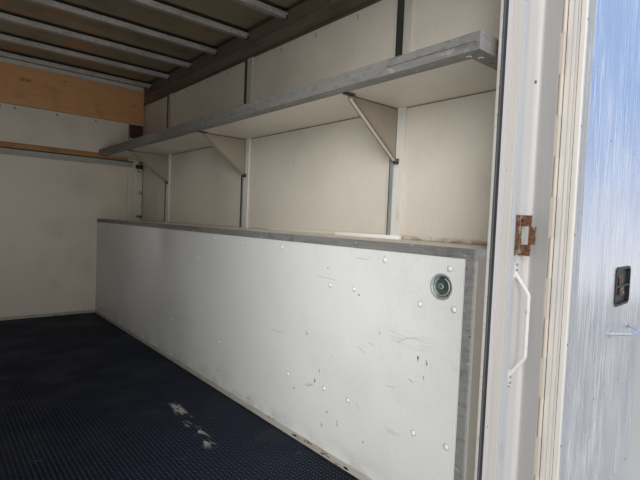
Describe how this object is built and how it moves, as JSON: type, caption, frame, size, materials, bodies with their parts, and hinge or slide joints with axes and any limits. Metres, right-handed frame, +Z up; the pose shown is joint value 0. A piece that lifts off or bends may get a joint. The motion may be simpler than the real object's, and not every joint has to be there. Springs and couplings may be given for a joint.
{
  "type": "truck box body",
  "caption": "Cargo box of a box truck with side lockers, shelves, roof bows, wooden bulkhead strips and twin rear doors folded open.",
  "frame": {"origin": "centre of the body's footprint at the underside of the long sills, where it rests on a truck's chassis", "axes": "+X to the right (kerb) side, +Y forwards to the cab, +Z up"},
  "size_m": [3.846, 3.8502, 2.248],
  "materials": {
    "aluminium_plain": "mill finish, scuffed",
    "chrome_bar": "polished, a little worn",
    "door_metal": "bare, brushed",
    "frame_black": "black chassis paint",
    "lamp_red": "lens",
    "latch_dark": "moulded rim",
    "locker_white": "satin white panel, scuffed",
    "outer_white": "gloss white paint",
    "post_grey": "weathered pale aluminium",
    "rail_brown": "dark brown",
    "roof_brown": "white outside, brown lining inside",
    "rubber_mat": "diamond pattern, dusty",
    "rubber_seal": "matte",
    "rusty_steel": "rusted",
    "wall_cream": "satin warm white paint, worn",
    "wood_floor": "bare boards",
    "wood_tan": "bare plywood"
  },
  "bodies": {
    "body": {"long_sills": "frame_black", "crossmembers": "frame_black", "bottom_rails": "aluminium_plain", "floor_boards": "wood_floor", "floor_mat": "rubber_mat", "rear_sill": "aluminium_plain", "side_panels_right": "wall_cream", "side_panels_left": "wall_cream", "wall_posts_right": "wall_cream", "wall_posts_left": "wall_cream", "rear_post_right": "post_grey", "rear_post_left": "post_grey", "locker_front_right": "locker_white", "locker_front_left": "locker_white", "rear_header": "post_grey", "opening_seal": "rubber_seal", "opening_lip": "aluminium_plain", "top_rails": "rail_brown", "roof_bows": "aluminium_plain", "roof_skin": "roof_brown", "front_wall": "outer_white", "bulkhead_lower_panel": "wall_cream", "bulkhead_rail": "wall_cream", "bulkhead_wood_strip": "wood_tan", "bulkhead_upper_panel": "wall_cream", "bulkhead_wood_header": "wood_tan", "front_corner_posts": "wall_cream", "base_trims": "aluminium_plain", "locker_tops": "aluminium_plain", "locker_ends": "locker_white", "locker_trims": "aluminium_plain", "locker_rings": "chrome_bar", "ledge_strips": "aluminium_plain", "shelf_panels": "wall_cream", "shelf_trims": "aluminium_plain", "shelf_brackets": "wall_cream", "grab_handles": "wall_cream", "keeper_brackets": "rusty_steel", "rear_lamps": "lamp_red"},
    "door_right": {"door_frame_right": "outer_white", "door_skin_right": "door_metal", "door_latch_right": "latch_dark", "door_pull_bar_right": "chrome_bar"},
    "door_left": {"door_frame_left": "outer_white", "door_skin_left": "door_metal", "door_latch_left": "latch_dark", "door_pull_bar_left": "chrome_bar"}
  },
  "joints": [
    {"name": "door_right_swing", "type": "hinge", "parent": "body", "child": "door_right", "pos_m": [0.963, -1.84787, 1.208], "axis": [0, 0, 1], "range_deg": [-184, 0]},
    {"name": "door_left_swing", "type": "hinge", "parent": "body", "child": "door_left", "pos_m": [-0.963, -1.84787, 1.208], "axis": [0, 0, -1], "range_deg": [-184, 0]}
  ]
}
